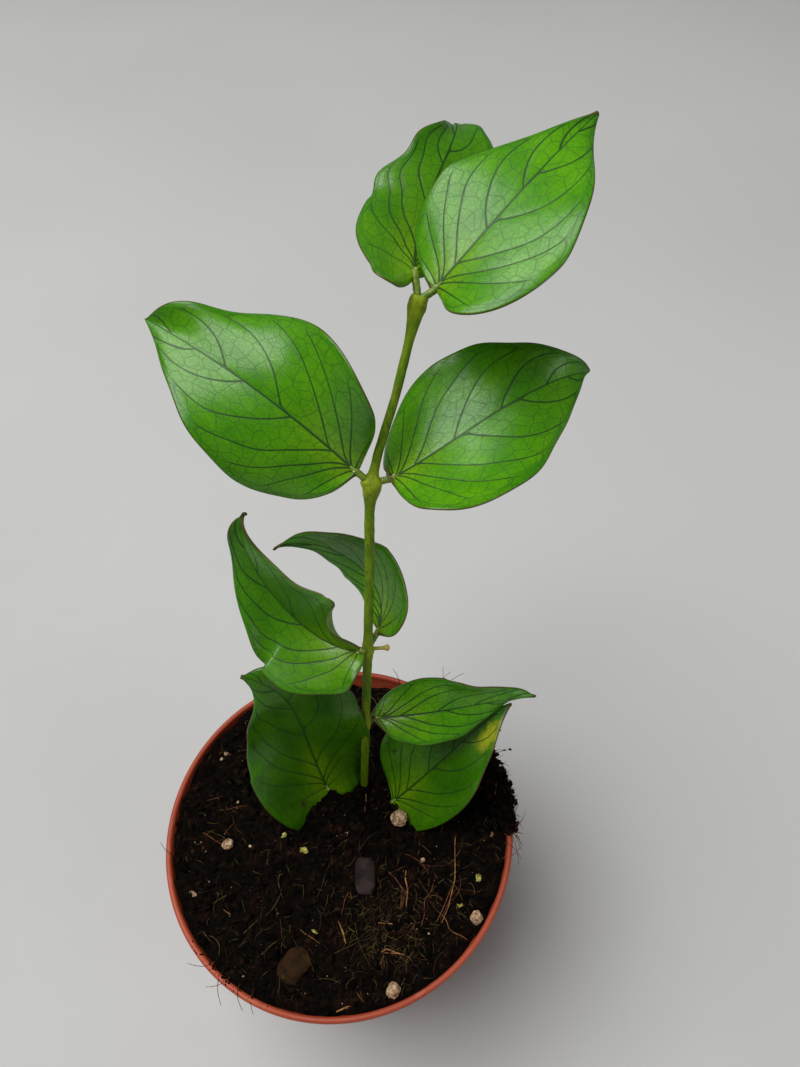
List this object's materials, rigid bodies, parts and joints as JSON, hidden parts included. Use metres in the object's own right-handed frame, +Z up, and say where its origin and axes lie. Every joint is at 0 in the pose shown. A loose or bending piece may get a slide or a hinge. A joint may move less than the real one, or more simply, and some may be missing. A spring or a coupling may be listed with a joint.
{
  "type": "potted fishtail hoya",
  "caption": "Young fishtail hoya in a round tapered nursery pot of peat soil, with wavy veined leaves in pairs along a slender leaning stem.",
  "frame": {"origin": "middle of the pot's base, on the plane it rests on", "axes": "+Z up along the pot's axis; +X to the right and +Y away from the viewer as in the picture, so the stem leans towards +X and +Y"},
  "size_m": [0.1605, 0.1725, 0.2883],
  "materials": {
    "pot": "satin terracotta-coloured plastic",
    "soil": "loose damp peat",
    "stem": "smooth olive green",
    "leaf": "satin green with darker veins",
    "perlite": "matt porous",
    "pebble": "matt brown",
    "bark": "matt dark"
  },
  "bodies": {
    "root": {"pot": "pot", "soil": "soil", "stem": "stem", "leaf_top_front": "leaf", "leaf_top_back": "leaf", "leaf_middle_left": "leaf", "leaf_middle_right": "leaf", "leaf_low_left": "leaf", "leaf_low_back": "leaf", "leaf_small_right": "leaf", "leaf_base_left": "leaf", "leaf_base_right": "leaf", "perlite_middle": "perlite", "perlite_front": "perlite", "perlite_right": "perlite", "perlite_left": "perlite", "pebble": "pebble", "bark_chip": "bark"}
  },
  "joints": []
}
